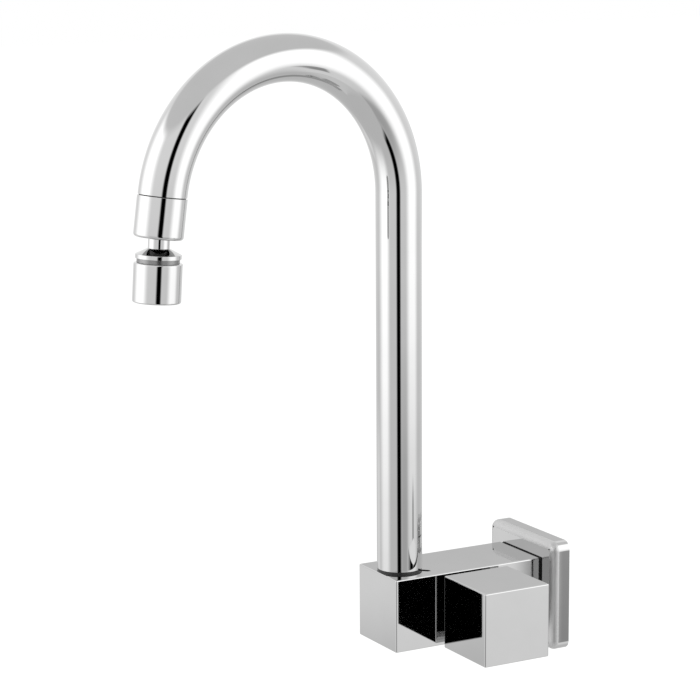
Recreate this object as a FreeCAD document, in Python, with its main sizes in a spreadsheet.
"""Wall tap with a square bar body, a cube handle, a high swivel spout and a ball-jointed aerator.

The origin is the middle of the flange's back face, on the wall. +Y goes into the wall, -Y comes
out towards the user, +X is the handle's side and +Z is up. Lengths are in millimetres.
"""
import FreeCAD, Part
import Sketcher
import os
import re
import sys

os.makedirs("parts", exist_ok=True)
doc = FreeCAD.newDocument("wall_tap")

# ---- driving dimensions -------------------------------------------------------------------
SIZES = {
    # clearances
    "running": 0.05,  # between faces that turn on each other
    "easy": 0.3,  # around pieces that only pass by each other
    "groove_play": 0.2,  # at each side of a ring in its groove
    # flange on the wall
    "flange_wide": 65.0,
    "flange_high": 61.0,
    "flange_deep": 10.7,
    "flange_wall": 2.5,
    "flange_corner": 5.0,
    "flange_round": 4.0,
    "seal_web": 9.0,
    "gasket_thick": 1.2,
    "gasket_inset": 0.5,
    "gasket_web": 7.0,
    # square bar body
    "bar_side": 40.0,
    "bar_long": 90.5,
    "bar_round": 0.7,
    "port_radius": 4.5,
    "port_wall": 1.0,
    # threaded inlet
    "inlet_radius": 10.48,
    "inlet_bore": 6.5,
    "inlet_reach": 10.0,
    "inlet_grip": 10.0,
    "inlet_relief": 0.9,
    "washer_thick": 1.5,
    # headwork, seen along the handle's axis
    "knob_station": 55.0,
    "chamber_deep": 24.0,
    "chamber_radius": 9.4,
    "bonnet_thread_radius": 10.2,
    "bonnet_thread_long": 8.0,
    "bonnet_wall": 1.6,
    "bonnet_head_radius": 11.6,
    "bonnet_head_thick": 2.5,
    "bonnet_neck_radius": 7.0,
    "bonnet_neck_long": 9.0,
    "bonnet_window": 3.0,
    "seat_seal_thick": 1.5,
    "disc_thick": 3.0,
    "disc_port_radius": 2.2,
    "disc_port_at": 3.0,
    "foot_thick": 3.5,
    "stem_radius": 4.0,
    "spline_long": 10.0,
    "spline_depth": 0.5,
    "spline_teeth": 20,
    "clip_thick": 0.8,
    "clip_web": 2.0,
    "stem_ring_thick": 1.6,
    "sleeve_wall": 1.2,
    "sleeve_long": 9.0,
    # cube handle
    "knob_side": 40.0,
    "knob_long": 41.3,
    "knob_gap": 4.2,
    "knob_round": 0.7,
    "insert_radius": 9.5,
    "insert_long": 20.0,
    "grub_radius": 2.5,
    "grub_point": 1.75,
    "grub_socket": 1.25,
    # spout's seat in the bar
    "spout_setback": 13.9,  # from the bar's free end
    "well_radius": 10.8,
    "well_deep": 27.0,
    "spigot_deep": 15.5,
    "spigot_grip": 12.0,
    "spigot_wall": 3.2,
    "spout_ring_thick": 1.8,
    "lower_ring_at": 13.0,
    "upper_ring_at": 9.6,
    "slip_ring_high": 1.2,
    "slip_ring_lip": 1.5,
    "slip_ring_web": 1.0,
    "lock_at": 5.2,
    "lock_slot": 2.2,
    "lock_slot_margin": 15.0,
    "swivel_limit": 110.0,
    # gooseneck
    "tube_radius": 12.25,
    "tube_wall": 1.4,
    "tube_rise": 204.7,
    "arch_radius": 74.5,
    "arch_sweep": 171.7,
    "spout_yaw": 8.5,
    # socket for the ball on the spout's tip
    "tip_grip": 5.0,
    "tip_thread_long": 5.0,
    "seam_long": 0.5,
    "seam_depth": 0.6,
    "tip_thread_wall": 1.9,
    "tip_bore": 7.0,
    "tip_ring_thick": 1.4,
    "collar_long": 21.0,
    "collar_step": 0.25,
    "collar_round": 1.8,
    "mouth_radius": 8.0,
    "seat_slope": 35.0,
    "ring_slope": 45.0,
    "ball_at": 13.3,
    "ball_radius": 9.5,
    "ball_tilt": 4.2,
    "stud_bore": 3.6,
    "neck_radius": 5.4,
    # aerator, measured from the middle of the ball along the stud
    "cap_at": 12.5,
    "cap_cone": 3.0,
    "cap_band": 2.0,
    "cap_radius": 11.5,
    "cap_wall": 1.6,
    "groove_long": 2.1,
    "groove_depth": 0.8,
    "skirt_long": 5.5,
    "shell_long": 19.8,
    "shell_radius": 12.15,
    "shell_wall": 1.5,
    "shell_round": 0.9,
    "shell_lip": 1.2,
    "lip_depth": 0.8,
    "flow_ring_thick": 1.5,
    "core_long": 8.0,
    "core_bore": 3.0,
    "jet_radius": 1.3,
    "jets": 8,
    "grid_thick": 0.8,
}

sheet = doc.addObject("Spreadsheet::Sheet", "sizes")
for row, (name, value) in enumerate(SIZES.items(), start=1):
    sheet.set("A%d" % row, name)
    sheet.set("B%d" % row, str(value))
    sheet.setAlias("B%d" % row, name)
doc.recompute()


# ---- small building functions -------------------------------------------------------------
def bound(text):
    """Turn a formula of size names into one that reads the sheet's cells."""
    return re.sub(r"[a-z_]+", lambda word: "sizes." + word[0] if word[0] in SIZES else word[0], text)


def at(x="0", y="0", z="0", axis="0; 0; 1", angle="0"):
    """A placement formula: a position, and a turn about an axis."""
    return "placement(vector(%s; %s; %s); rotation(vector(%s); %s))" % (x, y, z, axis, angle)


def place(piece, where):
    piece.setExpression("Placement", bound(where))
    return piece


def origin_plane(body, role):
    return next(plane for plane in body.Origin.OriginFeatures if plane.Role == role)


def new_body(label):
    body = doc.addObject("PartDesign::Body", label)
    body.Label = label
    return body


def new_sketch(body, name, role, offset="0"):
    """A sketch on one of the body's own origin planes, moved along the plane's normal."""
    sketch = body.newObject("Sketcher::SketchObject", name)
    sketch.AttachmentSupport = [(origin_plane(body, role), "")]
    sketch.MapMode = "FlatFace"
    sketch.setExpression("AttachmentOffset.Base.z", bound(offset))
    return sketch


def add_polygon(sketch, corners):
    """A closed outline whose corners are held by formulas, one pair (across, up) each."""
    first = sketch.GeometryCount
    count = len(corners)
    for index in range(count):
        start = FreeCAD.Vector(index + 1, index * index + 1, 0)
        following = (index + 1) % count
        end = FreeCAD.Vector(following + 1, following * following + 1, 0)
        sketch.addGeometry(Part.LineSegment(start, end))
    for index in range(count):
        following = first + (index + 1) % count
        sketch.addConstraint(Sketcher.Constraint("Coincident", first + index, 2, following, 1))
    for index, (across, up) in enumerate(corners):
        for kind, axis, formula in (("DistanceX", -2, across), ("DistanceY", -1, up)):
            if formula == "0":
                sketch.addConstraint(Sketcher.Constraint("PointOnObject", first + index, 1, axis))
                continue
            held = sketch.addConstraint(Sketcher.Constraint(kind, -1, 1, first + index, 1, 1.0))
            sketch.setExpression("Constraints[%d]" % held, bound(formula))


def add_circle(sketch, radius, across="0", up="0"):
    index = sketch.addGeometry(Part.Circle(FreeCAD.Vector(1, 1, 0), FreeCAD.Vector(0, 0, 1), 1))
    held = sketch.addConstraint(Sketcher.Constraint("Radius", index, 1.0))
    sketch.setExpression("Constraints[%d]" % held, bound(radius))
    for kind, axis, formula in (("DistanceX", -2, across), ("DistanceY", -1, up)):
        if formula == "0":
            sketch.addConstraint(Sketcher.Constraint("PointOnObject", index, 3, axis))
            continue
        held = sketch.addConstraint(Sketcher.Constraint(kind, -1, 1, index, 3, 1.0))
        sketch.setExpression("Constraints[%d]" % held, bound(formula))


def rectangle(half_wide, half_high):
    """The corners of a rectangle about the sketch's origin."""
    left, low = "-(%s)" % half_wide, "-(%s)" % half_high
    return [(left, low), (half_wide, low), (half_wide, half_high), (left, half_high)]


def square(half):
    return rectangle(half, half)


def turned(label, outline, where):
    """A piece turned about its own Z axis from an outline of (radius, height) formulas."""
    body = new_body(label)
    sketch = new_sketch(body, label + "_outline", "XZ_Plane")
    add_polygon(sketch, outline)
    revolution = body.newObject("PartDesign::Revolution", label + "_turned")
    revolution.Profile = sketch
    revolution.ReferenceAxis = (sketch, ["V_Axis"])
    revolution.Angle = 360
    return place(body, where)


def tube_outline(inner, outer, low, high):
    return [(inner, low), (outer, low), (outer, high), (inner, high)]


def add_pad(body, sketch, length):
    pad = body.newObject("PartDesign::Pad", sketch.Name + "_pad")
    pad.Profile = sketch
    pad.setExpression("Length", bound(length))
    return pad


def add_pocket(body, sketch, length, reverse):
    """Cut the sketch into the body: against its normal, or along it where reverse is set."""
    pocket = body.newObject("PartDesign::Pocket", sketch.Name + "_pocket")
    pocket.Profile = sketch
    pocket.Reversed = reverse
    pocket.setExpression("Length", bound(length))
    return pocket


def add_fillet(body, base, edges, radius):
    fillet = body.newObject("PartDesign::Fillet", base.Name + "_fillet")
    fillet.Base = (base, edges)
    fillet.setExpression("Radius", bound(radius))
    return fillet


def edges_where(shape, test):
    """The names of the edges whose middle passes the test."""
    found = []
    for number, edge in enumerate(shape.Edges, start=1):
        if test(edge.CenterOfMass):
            found.append("Edge%d" % number)
    return found


def circles_of(shape, radius):
    """The names of the round edges of that radius, from the lowest to the highest."""
    found = []
    for number, edge in enumerate(shape.Edges, start=1):
        if edge.Curve.TypeId == "Part::GeomCircle" and abs(edge.Curve.Radius - radius) < 1e-6:
            found.append((edge.Curve.Center.z, "Edge%d" % number))
    return [name for height, name in sorted(found)]


def cylinder(name, radius, length, where):
    piece = doc.addObject("Part::Cylinder", name)
    piece.setExpression("Radius", bound(radius))
    piece.setExpression("Height", bound(length))
    return place(piece, where)


def ring(label, radius, thick, where):
    """An O-ring: the radius of its middle circle and the thickness of its cord."""
    piece = doc.addObject("Part::Torus", label)
    piece.Label = label
    piece.setExpression("Radius1", bound(radius))
    piece.setExpression("Radius2", bound("(%s) / 2" % thick))
    return place(piece, where)


def united(name, pieces):
    fuse = doc.addObject("Part::MultiFuse", name)
    fuse.Shapes = pieces
    return fuse


def cut(label, base, tools):
    """The base less its tools, under the label that names the finished piece."""
    result = doc.addObject("Part::Cut", label)
    result.Label = label
    result.Base = base
    result.Tool = united(label + "_cuts", tools) if len(tools) > 1 else tools[0]
    return result


# ---- stations: where each group of pieces stands ------------------------------------------
BAR_BACK = "(flange_deep + gasket_thick)"
SPOUT_STATION = "(flange_deep + gasket_thick + bar_long - spout_setback)"
WALL = at(axis="1; 0; 0", angle="90")
BAR = at(y="-" + BAR_BACK, axis="1; 0; 0", angle="90")
HEADWORK = at(x="bar_side / 2", y="-knob_station", axis="0; 1; 0", angle="90")
SPOUT = at(y="-" + SPOUT_STATION, z="bar_side / 2", axis="0; 0; 1", angle="spout_yaw")
TIP = SPOUT + " * " + at(
    y="arch_radius * (cos(arch_sweep * 1 deg) - 1)",
    z="tube_rise + arch_radius * sin(arch_sweep * 1 deg)",
    axis="1; 0; 0",
    angle="arch_sweep",
)
BALL = TIP + " * " + at(z="ball_at")
STUD = BALL + " * " + at(axis="1; 0; 0", angle="ball_tilt")


# ---- flange and its seals -----------------------------------------------------------------
def wall_flange():
    """A flat cover with rounded front edges, hollow towards the wall."""
    body = new_body("wall_flange")
    outline = new_sketch(body, "flange_outline", "XY_Plane")
    add_polygon(outline, rectangle("flange_wide / 2", "flange_high / 2"))
    block = add_pad(body, outline, "flange_deep")
    doc.recompute()
    half_deep = SIZES["flange_deep"] / 2
    columns = edges_where(block.Shape, lambda middle: abs(middle.z - half_deep) < half_deep / 2)
    cornered = add_fillet(body, block, columns, "flange_corner")
    doc.recompute()
    rim = edges_where(cornered.Shape, lambda middle: middle.z > 1.5 * half_deep)
    add_fillet(body, cornered, rim, "flange_round")
    hollow = new_sketch(body, "flange_hollow", "XY_Plane")
    inside = [side + " / 2 - flange_wall" for side in ("flange_wide", "flange_high")]
    add_polygon(hollow, rectangle(*inside))
    add_pocket(body, hollow, "flange_deep - flange_wall", True)
    opening = new_sketch(body, "flange_opening", "XY_Plane")
    add_circle(opening, "inlet_radius + easy")
    add_pocket(body, opening, "flange_deep", True)
    return place(body, WALL)


def flat_gasket(label, half_wide, half_high, hole, thick, where):
    """A flat gasket with a round hole."""
    body = new_body(label)
    outline = new_sketch(body, label + "_outline", "XY_Plane")
    add_polygon(outline, rectangle(half_wide, half_high))
    add_circle(outline, hole)
    add_pad(body, outline, thick)
    return place(body, where)


def seal_pieces():
    seal_half_high = "flange_high / 2 - flange_wall - easy"
    flange_seal = flat_gasket(
        "flange_seal",
        "flange_wide / 2 - flange_wall - easy",
        seal_half_high,
        seal_half_high + " - seal_web",
        "flange_deep - flange_wall",
        WALL,
    )
    gasket_half = "bar_side / 2 - gasket_inset"
    body_gasket = flat_gasket(
        "body_gasket",
        gasket_half,
        gasket_half,
        gasket_half + " - gasket_web",
        "gasket_thick",
        at(y="-flange_deep", axis="1; 0; 0", angle="90"),
    )
    return [flange_seal, body_gasket]


# ---- bar body -----------------------------------------------------------------------------
def valve_body():
    """The square bar, drilled for the inlet, the headwork, the spout and the water between."""
    block = new_body("bar_block")
    outline = new_sketch(block, "bar_outline", "XY_Plane")
    add_polygon(outline, square("bar_side / 2"))
    bar = add_pad(block, outline, "bar_long")
    doc.recompute()
    rounded = edges_where(bar.Shape, lambda middle: middle.z > SIZES["bar_long"] / 4)
    add_fillet(block, bar, rounded, "bar_round")
    place(block, BAR)

    inlet_end = "(%s + inlet_grip)" % BAR_BACK
    seat_depth = "(chamber_deep - bar_side / 2 + port_wall + port_radius)"
    passage_run = "(knob_station - %s)" % inlet_end
    slanted = at(y="-" + inlet_end, angle="-atan(%s / %s)" % (seat_depth, passage_run))
    drills = [
        cylinder("inlet_socket", "inlet_radius + running", "inlet_grip + washer_thick", BAR),
        cylinder(
            "inlet_passage",
            "port_radius",
            "sqrt(%s ^ 2 + %s ^ 2)" % (seat_depth, passage_run),
            slanted + " * " + at(axis="1; 0; 0", angle="90"),
        ),
        cylinder(
            "seat_passage",
            "port_radius",
            "2 * port_wall + port_radius",
            at(x="-" + seat_depth, y="-knob_station", axis="0; 1; 0", angle="90"),
        ),
        cylinder(
            "chamber",
            "chamber_radius",
            "chamber_deep",
            HEADWORK + " * " + at(z="-chamber_deep"),
        ),
        cylinder(
            "chamber_thread",
            "bonnet_thread_radius + running",
            "bonnet_thread_long",
            HEADWORK + " * " + at(z="-bonnet_thread_long"),
        ),
        cylinder(
            "outlet_passage",
            "port_radius",
            SPOUT_STATION + " - knob_station",
            at(
                x="bar_side / 2 - chamber_deep + port_wall + port_radius",
                y="-knob_station",
                z="bar_side / 2 - well_deep + port_wall + port_radius",
                axis="1; 0; 0",
                angle="90",
            ),
        ),
        cylinder("spout_well", "well_radius", "well_deep", SPOUT + " * " + at(z="-well_deep")),
        cylinder(
            "slip_ring_seat",
            "well_radius + slip_ring_web",
            "slip_ring_lip",
            SPOUT + " * " + at(z="-slip_ring_lip"),
        ),
        cylinder(
            "lock_hole",
            "grub_radius + running",
            "bar_side / 2",
            at(
                x="-bar_side / 2",
                y="-" + SPOUT_STATION,
                z="bar_side / 2 - lock_at",
                axis="0; 1; 0",
                angle="90",
            ),
        ),
    ]
    return cut("valve_body", block, drills)


def inlet_pieces():
    """The inlet, threaded at both ends and relieved between, and the washer that it presses."""
    end = "(%s + inlet_grip)" % BAR_BACK
    nipple = turned(
        "inlet_nipple",
        [
            ("inlet_bore", "-inlet_reach"),
            ("inlet_radius", "-inlet_reach"),
            ("inlet_radius", "-easy"),
            ("inlet_radius - inlet_relief", "-easy"),
            ("inlet_radius - inlet_relief", BAR_BACK),
            ("inlet_radius", BAR_BACK),
            ("inlet_radius", end),
            ("inlet_bore", end),
        ],
        WALL,
    )
    washer = turned(
        "inlet_washer",
        tube_outline("inlet_bore", "inlet_radius", end, "%s + washer_thick" % end),
        WALL,
    )
    return [nipple, washer]


# ---- headwork -----------------------------------------------------------------------------
BONNET_LOW = "(seat_seal_thick - chamber_deep)"
BONNET_OUTER = "(chamber_radius - easy)"
BONNET_INNER = "(%s - bonnet_wall)" % BONNET_OUTER
DISC_TOP = "(%s + disc_thick)" % BONNET_LOW
FOOT_LOW = "(%s + running + disc_thick)" % DISC_TOP
FOOT_TOP = "(%s + foot_thick)" % FOOT_LOW
NECK_TOP = "(bonnet_head_thick + bonnet_neck_long)"
SPLINE_LOW = "(%s + running + clip_thick)" % NECK_TOP
SPLINE_TOP = "(%s + spline_long)" % SPLINE_LOW


def cartridge_bonnet():
    """The brass housing of the headwork, with two windows that let the water out sideways."""
    bore = "stem_radius + running"
    outline = [
        (BONNET_INNER, BONNET_LOW),
        (BONNET_OUTER, BONNET_LOW),
        (BONNET_OUTER, "-bonnet_thread_long"),
        ("bonnet_thread_radius", "-bonnet_thread_long"),
        ("bonnet_thread_radius", "0"),
        ("bonnet_head_radius", "0"),
        ("bonnet_head_radius", "bonnet_head_thick"),
        ("bonnet_neck_radius", "bonnet_head_thick"),
        ("bonnet_neck_radius", NECK_TOP),
        (bore, NECK_TOP),
        (bore, FOOT_TOP + " + running"),
        (BONNET_INNER, FOOT_TOP + " + running"),
    ]
    housing = turned("bonnet_housing", outline, HEADWORK)
    window = cylinder(
        "bonnet_windows",
        "bonnet_window / 2",
        "2 * chamber_radius",
        HEADWORK
        + " * "
        + at(y="-chamber_radius", z=DISC_TOP + " + bonnet_window / 2", axis="1; 0; 0", angle="-90"),
    )
    return cut("cartridge_bonnet", housing, [window])


def disc_plate(label, low):
    return turned(
        label + "_plate",
        tube_outline("0", "%s - running" % BONNET_INNER, low, "%s + disc_thick" % low),
        HEADWORK,
    )


def seat_disc():
    """The fixed ceramic disc, with its port on the side of the spout."""
    port = cylinder(
        "seat_port",
        "disc_port_radius",
        "disc_thick",
        HEADWORK + " * " + at(y="-disc_port_at", z=BONNET_LOW),
    )
    return cut("seat_disc", disc_plate("seat_disc", BONNET_LOW), [port])


def drive_disc():
    """The turning ceramic disc: its slot meets the port and a window after a quarter turn."""
    low = "(%s + running)" % DISC_TOP
    port = cylinder(
        "drive_port",
        "disc_port_radius",
        "disc_thick",
        HEADWORK + " * " + at(x="-disc_port_at", z=low),
    )
    slot = doc.addObject("Part::Box", "drive_slot")
    slot.setExpression("Length", bound("%s - disc_port_at" % BONNET_INNER))
    slot.setExpression("Width", bound("2 * disc_port_radius"))
    slot.setExpression("Height", bound("disc_thick"))
    place(slot, HEADWORK + " * " + at(x="-" + BONNET_INNER, y="-disc_port_radius", z=low))
    return cut("drive_disc", disc_plate("drive_disc", low), [port, slot])


def spindle():
    """The stem that turns the upper disc, with a splined end for the handle."""
    groove = "stem_radius - stem_ring_thick"
    ring_at = "bonnet_head_thick"
    half = "(stem_ring_thick / 2 + groove_play)"
    outline = [
        ("0", FOOT_LOW),
        (BONNET_INNER + " - running", FOOT_LOW),
        (BONNET_INNER + " - running", FOOT_TOP),
        ("stem_radius", FOOT_TOP),
        ("stem_radius", ring_at + " - " + half),
        (groove, ring_at + " - " + half),
        (groove, ring_at + " + " + half),
        ("stem_radius", ring_at + " + " + half),
        ("stem_radius", SPLINE_TOP),
        ("0", SPLINE_TOP),
    ]
    body = turned("spindle", outline, HEADWORK)
    tooth = new_sketch(body, "spline_tooth", "XY_Plane", SPLINE_TOP)
    add_polygon(
        tooth,
        [
            ("stem_radius - spline_depth", "0"),
            ("stem_radius + spline_depth", "-spline_depth"),
            ("stem_radius + spline_depth", "spline_depth"),
        ],
    )
    slot = add_pocket(body, tooth, "spline_long", False)
    pattern = body.newObject("PartDesign::PolarPattern", "spline_teeth_pattern")
    pattern.Originals = [slot]
    pattern.Axis = (tooth, ["N_Axis"])
    pattern.Angle = 360
    pattern.setExpression("Occurrences", bound("spline_teeth"))
    body.Tip = pattern
    return body


def headwork_pieces():
    seat_seal = turned(
        "seat_seal",
        tube_outline("port_radius", BONNET_OUTER, "-chamber_deep", BONNET_LOW),
        HEADWORK,
    )
    stem_ring = ring(
        "stem_ring",
        "stem_radius - stem_ring_thick / 2",
        "stem_ring_thick",
        HEADWORK + " * " + at(z="bonnet_head_thick"),
    )
    clip_low = "(%s + running)" % NECK_TOP
    stem_clip = turned(
        "stem_clip",
        tube_outline("stem_radius", "stem_radius + clip_web", clip_low, clip_low + " + clip_thick"),
        HEADWORK,
    )
    sleeve = turned(
        "bonnet_sleeve",
        tube_outline(
            "bonnet_head_radius + running",
            "bonnet_head_radius + running + sleeve_wall",
            "0",
            "sleeve_long",
        ),
        HEADWORK,
    )
    return [
        cartridge_bonnet(),
        seat_seal,
        seat_disc(),
        drive_disc(),
        spindle(),
        stem_ring,
        stem_clip,
        sleeve,
    ]


# ---- cube handle --------------------------------------------------------------------------
INSERT_LOW = SPLINE_LOW
RECESS_RADIUS = "(bonnet_head_radius + running + sleeve_wall + easy)"
GRUB_AT = "((%s + %s) / 2)" % (SPLINE_LOW, SPLINE_TOP)


def knob_shell():
    """The cube, with a recess over the headwork and a socket for the splined insert."""
    body = new_body("knob_block")
    outline = new_sketch(body, "knob_outline", "XY_Plane", "knob_gap")
    add_polygon(outline, square("knob_side / 2"))
    cube = add_pad(body, outline, "knob_long")
    doc.recompute()
    add_fillet(body, cube, edges_where(cube.Shape, lambda middle: True), "knob_round")
    place(body, HEADWORK)
    recess = cylinder(
        "knob_recess",
        RECESS_RADIUS,
        INSERT_LOW + " - knob_gap",
        HEADWORK + " * " + at(z="knob_gap"),
    )
    socket = cylinder(
        "knob_socket",
        "insert_radius",
        "insert_long",
        HEADWORK + " * " + at(z=INSERT_LOW),
    )
    grub_hole = cylinder(
        "knob_grub_hole",
        "grub_radius + running",
        "knob_side / 2",
        HEADWORK + " * " + at(z=GRUB_AT, axis="0; 1; 0", angle="90"),
    )
    return cut("knob_shell", body, [recess, socket, grub_hole])


def knob_insert():
    """The hub between the cube and the spindle's splines."""
    outline = [
        ("stem_radius", INSERT_LOW),
        ("insert_radius", INSERT_LOW),
        ("insert_radius", INSERT_LOW + " + insert_long"),
        ("0", INSERT_LOW + " + insert_long"),
        ("0", SPLINE_TOP + " + easy"),
        ("stem_radius", SPLINE_TOP + " + easy"),
    ]
    hub = turned("knob_hub", outline, HEADWORK)
    grub_hole = cylinder(
        "insert_grub_hole",
        "grub_radius + running",
        "insert_radius",
        HEADWORK + " * " + at(z=GRUB_AT, axis="0; 1; 0", angle="90"),
    )
    return cut("knob_insert", hub, [grub_hole])


def grub_screw(label, point, length, where):
    """A headless screw with a narrower point and a hexagon socket, along its own Z axis."""
    outline = [
        ("0", "0"),
        (point, "0"),
        (point, "grub_radius"),
        ("grub_radius", "grub_radius"),
        ("grub_radius", length),
        ("0", length),
    ]
    shank = turned(label + "_shank", outline, where)
    socket = doc.addObject("Part::Prism", label + "_socket")
    socket.Polygon = 6
    socket.setExpression("Circumradius", bound("grub_socket"))
    socket.setExpression("Height", bound("grub_radius"))
    place(socket, where + " * " + at(z="%s - grub_radius" % length))
    return cut(label, shank, [socket])


def knob_pieces():
    knob_screw = grub_screw(
        "knob_screw",
        "grub_point",
        "knob_side / 2 - stem_radius - grub_radius",
        HEADWORK + " * " + at(x="stem_radius", z=GRUB_AT, axis="0; 1; 0", angle="90"),
    )
    return [knob_shell(), knob_insert(), knob_screw]


# ---- spout's seat -------------------------------------------------------------------------
SPIGOT_RADIUS = "(well_radius - running)"
TUBE_INNER = "(tube_radius - tube_wall)"
TUBE_LOW = "(slip_ring_high + running)"


def spout_spigot():
    """The spigot that turns in the bar: two O-ring grooves, and a slot for the lock screw."""
    ring_floor = SPIGOT_RADIUS + " - spout_ring_thick"
    half = "(spout_ring_thick / 2 + groove_play)"
    outline = [
        (SPIGOT_RADIUS + " - spigot_wall", "-spigot_deep"),
        (SPIGOT_RADIUS, "-spigot_deep"),
    ]
    for height in ("-lower_ring_at", "-upper_ring_at"):
        outline += [
            (SPIGOT_RADIUS, "%s - %s" % (height, half)),
            (ring_floor, "%s - %s" % (height, half)),
            (ring_floor, "%s + %s" % (height, half)),
            (SPIGOT_RADIUS, "%s + %s" % (height, half)),
        ]
    outline += [
        (SPIGOT_RADIUS, TUBE_LOW),
        (TUBE_INNER, TUBE_LOW),
        (TUBE_INNER, TUBE_LOW + " + spigot_grip"),
        (SPIGOT_RADIUS + " - spigot_wall", TUBE_LOW + " + spigot_grip"),
    ]
    body = turned("spout_spigot", outline, SPOUT)
    slot = new_sketch(body, "lock_slot_outline", "XZ_Plane")
    slot_half = "grub_point + easy"
    slot_floor = "-(%s - lock_slot)" % SPIGOT_RADIUS
    slot_outer = "-(%s + easy)" % SPIGOT_RADIUS
    slot_low = "-lock_at - (%s)" % slot_half
    slot_high = "-lock_at + %s" % slot_half
    add_polygon(
        slot,
        [
            (slot_outer, slot_low),
            (slot_floor, slot_low),
            (slot_floor, slot_high),
            (slot_outer, slot_high),
        ],
    )
    groove = body.newObject("PartDesign::Groove", "lock_slot_groove")
    groove.Profile = slot
    groove.ReferenceAxis = (slot, ["V_Axis"])
    groove.Midplane = True
    groove.setExpression("Angle", bound("2 * (swivel_limit + lock_slot_margin)"))
    return body


def seat_pieces():
    """The slip ring under the tube, the spigot with its O-rings, and the lock screw."""
    slip_ring = turned(
        "spout_slip_ring",
        [
            ("well_radius + running", "-slip_ring_lip"),
            ("well_radius + slip_ring_web", "-slip_ring_lip"),
            ("well_radius + slip_ring_web", "0"),
            ("tube_radius - easy", "0"),
            ("tube_radius - easy", "slip_ring_high"),
            ("well_radius + running", "slip_ring_high"),
        ],
        SPOUT,
    )
    lock_tip = "(%s - lock_slot + easy)" % SPIGOT_RADIUS
    lock_screw = grub_screw(
        "spout_lock_screw",
        "grub_point",
        "bar_side / 2 - %s - easy" % lock_tip,
        at(
            x="-" + lock_tip,
            y="-" + SPOUT_STATION,
            z="bar_side / 2 - lock_at",
            axis="0; 1; 0",
            angle="-90",
        ),
    )
    rings = []
    for label, height in (("spout_ring_lower", "-lower_ring_at"), ("spout_ring_upper", "-upper_ring_at")):
        radius = SPIGOT_RADIUS + " - spout_ring_thick / 2"
        rings.append(ring(label, radius, "spout_ring_thick", SPOUT + " * " + at(z=height)))
    return [slip_ring, spout_spigot(), lock_screw] + rings


# ---- gooseneck ----------------------------------------------------------------------------
def arch(name, radius):
    """Part of a torus that starts on the straight leg and comes down over the sink."""
    piece = doc.addObject("Part::Torus", name)
    piece.setExpression("Radius1", bound("arch_radius"))
    piece.setExpression("Radius2", bound(radius))
    piece.setExpression("Angle3", bound("arch_sweep"))
    return place(piece, SPOUT + " * " + at(y="-arch_radius", z="tube_rise", axis="1; 1; 1", angle="120"))


def spout_tube():
    """The bent tube: a straight leg and an arch, hollow from end to end."""
    leg = "tube_rise - " + TUBE_LOW
    foot = SPOUT + " * " + at(z=TUBE_LOW)
    outside = [cylinder("leg_outside", "tube_radius", leg, foot), arch("arch_outside", "tube_radius")]
    inside = [cylinder("leg_inside", TUBE_INNER, leg, foot), arch("arch_inside", TUBE_INNER)]
    return cut("spout_tube", united("tube_outside", outside), inside)


# ---- tip: socket, ball and aerator ----------------------------------------------------------
THREAD_RADIUS = "(tube_radius - tip_thread_wall)"
COLLAR_RADIUS = "(tube_radius + collar_step)"
BALL_BORE = "(ball_radius + easy)"


def on_ball(radius, slope):
    """How far from the ball's middle a cone of that slope, touching the ball, has this radius."""
    parts = (radius, slope, slope)
    return "((ball_radius + running - (%s) * cos(%s * 1 deg)) / sin(%s * 1 deg))" % parts


def socket_pieces():
    """The insert in the tube's end, its O-ring, the socket collar and the seat above the ball."""
    ring_floor = THREAD_RADIUS + " - tip_ring_thick"
    groove_end = "seam_long + tip_ring_thick + 2 * groove_play"
    insert = turned(
        "tip_insert",
        [
            ("tip_bore", "-tip_grip"),
            (TUBE_INNER + " - easy", "-tip_grip"),
            (TUBE_INNER + " - easy", "0"),
            ("tube_radius - seam_depth", "0"),
            ("tube_radius - seam_depth", "seam_long"),
            (ring_floor, "seam_long"),
            (ring_floor, groove_end),
            (THREAD_RADIUS, groove_end),
            (THREAD_RADIUS, "tip_thread_long"),
            ("tip_bore", "tip_thread_long"),
        ],
        TIP,
    )
    tip_ring = ring(
        "tip_ring",
        THREAD_RADIUS + " - tip_ring_thick / 2",
        "tip_ring_thick",
        TIP + " * " + at(z="seam_long + groove_play + tip_ring_thick / 2"),
    )
    collar = turned(
        "tip_collar",
        [
            (THREAD_RADIUS, "seam_long"),
            (COLLAR_RADIUS, "seam_long"),
            (COLLAR_RADIUS, "collar_long"),
            ("mouth_radius", "collar_long"),
            ("mouth_radius", "ball_at + " + on_ball("mouth_radius", "seat_slope")),
            (BALL_BORE, "ball_at + " + on_ball(BALL_BORE, "seat_slope")),
            (BALL_BORE, "tip_thread_long"),
            (THREAD_RADIUS, "tip_thread_long"),
        ],
        TIP,
    )
    doc.recompute()
    wide = SIZES["tube_radius"] + SIZES["collar_step"]
    rim = circles_of(collar.Tip.Shape, wide)[-1]
    add_fillet(collar, collar.Tip, [rim], "collar_round")
    return [insert, tip_ring, collar]


def ball_seat():
    """The plastic ring that the ball turns against, under the insert."""
    outer = "(%s - running)" % BALL_BORE
    low = "ball_at - " + on_ball(outer, "ring_slope")
    inner = "(tip_bore - easy)"
    return turned(
        "ball_seat",
        [
            (outer, low),
            (outer, "tip_thread_long + running"),
            (inner, "tip_thread_long + running"),
            (inner, "ball_at - " + on_ball(inner, "ring_slope")),
        ],
        TIP,
    )


CAP_LOW = "(cap_at + cap_cone + cap_band)"
SHELL_TOP = "(%s + groove_long)" % CAP_LOW
SKIRT_END = "(%s + skirt_long)" % SHELL_TOP
SHELL_END = "(%s + shell_long)" % SHELL_TOP
SKIRT_RADIUS = "(shell_radius - shell_wall - shell_lip)"
CORE_RADIUS = "(shell_radius - shell_wall - running)"


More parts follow.
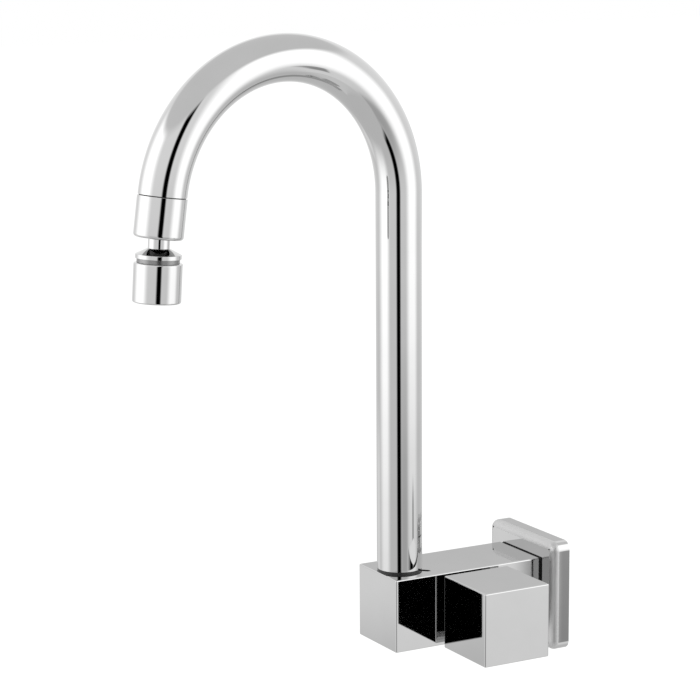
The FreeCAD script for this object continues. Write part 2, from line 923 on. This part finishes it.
def ball_stud():
    """A bored ball on a threaded neck."""
    ball = doc.addObject("Part::Sphere", "stud_ball")
    ball.setExpression("Radius", bound("ball_radius"))
    place(ball, STUD)
    neck = cylinder("stud_neck", "neck_radius", CAP_LOW, STUD)
    solid = united("stud_solid", [ball, neck])
    bore = cylinder(
        "stud_passage",
        "stud_bore",
        "ball_radius + " + CAP_LOW,
        STUD + " * " + at(z="-ball_radius"),
    )
    return cut("ball_stud", solid, [bore])


def aerator_cap():
    """The bell under the neck, with a band and the spigot that the shell turns on."""
    return turned(
        "aerator_cap",
        [
            ("neck_radius", "cap_at"),
            ("cap_radius", "cap_at + cap_cone"),
            ("cap_radius", CAP_LOW),
            ("cap_radius - groove_depth", CAP_LOW),
            ("cap_radius - groove_depth", SHELL_TOP + " - running"),
            (SKIRT_RADIUS, SHELL_TOP + " - running"),
            (SKIRT_RADIUS, SKIRT_END),
            (SKIRT_RADIUS + " - cap_wall", SKIRT_END),
            (SKIRT_RADIUS + " - cap_wall", CAP_LOW),
            ("neck_radius", CAP_LOW),
        ],
        STUD,
    )


def aerator_shell():
    """The outer sleeve: a collar that turns on the cap's spigot, and a lip round the outlet."""
    shell = turned(
        "aerator_shell",
        [
            (SKIRT_RADIUS + " + running", SHELL_TOP),
            ("shell_radius", SHELL_TOP),
            ("shell_radius", SHELL_END),
            ("shell_radius - shell_wall - lip_depth", SHELL_END),
            ("shell_radius - shell_wall - lip_depth", SHELL_END + " - shell_lip"),
            ("shell_radius - shell_wall", SHELL_END + " - shell_lip"),
            ("shell_radius - shell_wall", SKIRT_END + " + running"),
            (SKIRT_RADIUS + " + running", SKIRT_END + " + running"),
        ],
        STUD,
    )
    doc.recompute()
    add_fillet(shell, shell.Tip, circles_of(shell.Tip.Shape, SIZES["shell_radius"]), "shell_round")
    return shell


def aerator_core():
    """The insert that mixes air into the water: a hub with a ring of jets."""
    low = SHELL_END + " - shell_lip - grid_thick - core_long"
    outline = tube_outline("core_bore", CORE_RADIUS, low, low + " + core_long")
    body = turned("aerator_core", outline, STUD)
    jet = new_sketch(body, "jet_outline", "XY_Plane", low)
    add_circle(jet, "jet_radius", across="(core_bore + %s) / 2" % CORE_RADIUS)
    hole = add_pocket(body, jet, "core_long", True)
    pattern = body.newObject("PartDesign::PolarPattern", "jet_pattern")
    pattern.Originals = [hole]
    pattern.Axis = (jet, ["N_Axis"])
    pattern.Angle = 360
    pattern.setExpression("Occurrences", bound("jets"))
    body.Tip = pattern
    return body


def outlet_pieces():
    core_low = SHELL_END + " - shell_lip - grid_thick - core_long"
    flow_ring = turned(
        "flow_ring",
        tube_outline("core_bore + jet_radius", CORE_RADIUS, core_low + " - flow_ring_thick", core_low),
        STUD,
    )
    grid = turned(
        "outlet_grid",
        tube_outline("0", CORE_RADIUS, SHELL_END + " - shell_lip - grid_thick", SHELL_END + " - shell_lip"),
        STUD,
    )
    return [aerator_core(), flow_ring, grid]


# ---- the whole tap ------------------------------------------------------------------------
NODES = [wall_flange()]
NODES += seal_pieces()
NODES += [valve_body()]
NODES += inlet_pieces()
NODES += headwork_pieces()
NODES += knob_pieces()
NODES += seat_pieces()
NODES += [spout_tube()]
NODES += socket_pieces()
NODES += [ball_seat(), ball_stud(), aerator_cap(), aerator_shell()]
NODES += outlet_pieces()
doc.recompute()

faults = []
for item in doc.Objects:
    if "Invalid" in item.State or "Error" in item.State:
        faults.append("%s did not compute" % item.Label)
for node in NODES:
    if node.Shape.isNull() or not node.Shape.isValid():
        faults.append("%s has no valid shape" % node.Label)
if faults:
    sys.exit("; ".join(faults))

for node in NODES:
    node.Shape.exportStep("parts/%s.step" % node.Label)
    print("%-20s %10.1f mm3, %d solid(s)" % (node.Label, node.Shape.Volume, len(node.Shape.Solids)))
